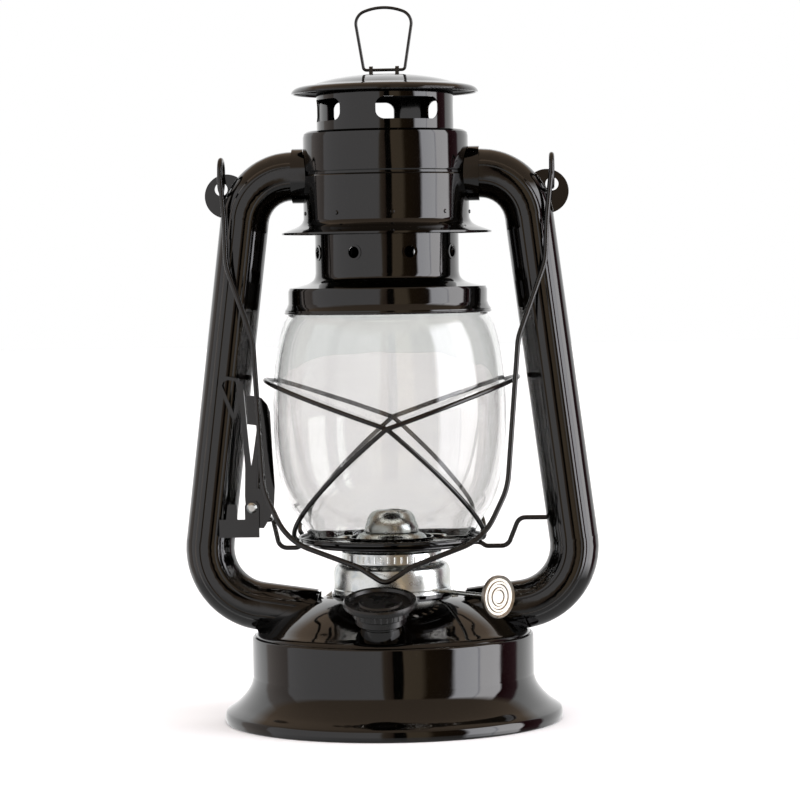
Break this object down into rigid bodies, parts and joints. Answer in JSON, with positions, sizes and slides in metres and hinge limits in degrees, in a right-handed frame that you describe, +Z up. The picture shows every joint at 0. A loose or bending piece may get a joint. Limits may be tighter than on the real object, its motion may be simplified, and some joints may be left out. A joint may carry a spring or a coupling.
{
  "type": "barn lantern",
  "caption": "Hot-blast barn lantern: black enamelled tank, side air tubes, glass globe with wire guard, zinc burner, sprung chimney, lift lever and swinging wire bail.",
  "frame": {"origin": "centre of the foot on the surface it stands on", "axes": "+Z up through the chimney, side tubes in the XZ plane, filler cap and hanging bail towards -Y"},
  "size_m": [0.175, 0.143, 0.3008],
  "materials": {
    "black_enamel": "stoved gloss black enamel on pressed sheet steel",
    "enamelled_wire": "black enamelled steel wire",
    "zinc_plate": "zinc plated pressed steel, slightly clouded",
    "pressed_knob": "bright nickel plated pressing",
    "moulded_cap": "black moulded plastic with a satin skin",
    "cork_seal": "matt dark seal",
    "cotton": "woven cotton wick",
    "globe_glass": "clear blown glass, polished",
    "spring_steel": "drawn spring wire"
  },
  "bodies": {
    "lantern": {"tank_shell": "black_enamel", "tank_floor": "zinc_plate", "tank_dome": "black_enamel", "filler_neck": "black_enamel", "burner_collar": "zinc_plate", "burner_clips": "black_enamel", "burner_body": "zinc_plate", "burner_gallery": "zinc_plate", "burner_deflector": "zinc_plate", "burner_cone": "zinc_plate", "wick_tube": "zinc_plate", "left_air_tube": "black_enamel", "right_air_tube": "black_enamel", "left_tube_collar": "black_enamel", "right_tube_collar": "black_enamel", "left_tube_ferrule": "black_enamel", "right_tube_ferrule": "black_enamel", "canopy": "black_enamel", "canopy_rivets": "black_enamel", "left_ear": "black_enamel", "right_ear": "black_enamel", "lever_bracket": "black_enamel", "lever_rivet": "zinc_plate"},
    "globe_carrier": {"globe_plate": "black_enamel", "lift_wire": "enamelled_wire", "inner_guard_wire": "enamelled_wire", "outer_guard_wire": "enamelled_wire", "globe": "globe_glass"},
    "chimney": {"crown": "black_enamel", "chimney_tube": "black_enamel", "chimney_cap": "black_enamel", "ring_lugs": "black_enamel", "chimney_spring": "spring_steel"},
    "lift_ring": {"lift_ring": "enamelled_wire"},
    "lift_lever": {"lift_lever": "black_enamel"},
    "bail": {"bail": "enamelled_wire"},
    "wick_knob": {"wick_shaft": "zinc_plate", "wick_star_wheels": "zinc_plate", "wick_knob": "pressed_knob"},
    "wick": {"wick": "cotton"},
    "filler_seal": {"filler_gasket": "cork_seal"},
    "filler_cap": {"filler_cap": "moulded_cap"}
  },
  "joints": [
    {"name": "globe_lift", "type": "slide", "parent": "lantern", "child": "globe_carrier", "axis": [0, 0, 1], "range_m": [0, 0.01]},
    {"name": "chimney_lift", "type": "slide", "parent": "globe_carrier", "child": "chimney", "axis": [0, 0, 1], "range_m": [0, 0.012], "stiffness_N_per_m": 180, "springref_m": -0.012, "deforming": ["chimney_spring"]},
    {"name": "ring_fold", "type": "hinge", "parent": "chimney", "child": "lift_ring", "pos_m": [0, 0, 0.274], "axis": [1, 0, 0], "range_deg": [-88, 88]},
    {"name": "lever_press", "type": "hinge", "parent": "lantern", "child": "lift_lever", "pos_m": [-0.0576, -0.0123, 0.091], "axis": [0, -1, 0], "range_deg": [0, 86]},
    {"name": "bail_swing", "type": "hinge", "parent": "lantern", "child": "bail", "pos_m": [0, 0, 0.2306], "axis": [-1, 0, 0], "range_deg": [0, 262]},
    {"name": "wick_turn", "type": "hinge", "parent": "lantern", "child": "wick_knob", "pos_m": [0.00358, 0.0037, 0.0552], "axis": [0.7193, -0.6947, 0], "range_deg": [-140, 55]},
    {"name": "wick_rise", "type": "slide", "parent": "lantern", "child": "wick", "axis": [0, 0, 1], "range_m": [-0.0097, 0.0038]},
    {"name": "seal_rise", "type": "slide", "parent": "lantern", "child": "filler_seal", "axis": [0, -0.2588, 0.9659], "range_m": [0, 0.001]},
    {"name": "cap_turn", "type": "hinge", "parent": "filler_seal", "child": "filler_cap", "pos_m": [-0.0015, -0.0468, 0.0401], "axis": [0, -0.2588, 0.9659], "range_deg": [0, 120]}
  ],
  "couplings": [
    {"joint": "lever_press", "follows": "globe_lift", "rad_per_m": 148.35},
    {"joint": "wick_turn", "follows": "wick_rise", "rad_per_m": 250},
    {"joint": "cap_turn", "follows": "seal_rise", "rad_per_m": 2094.4}
  ]
}
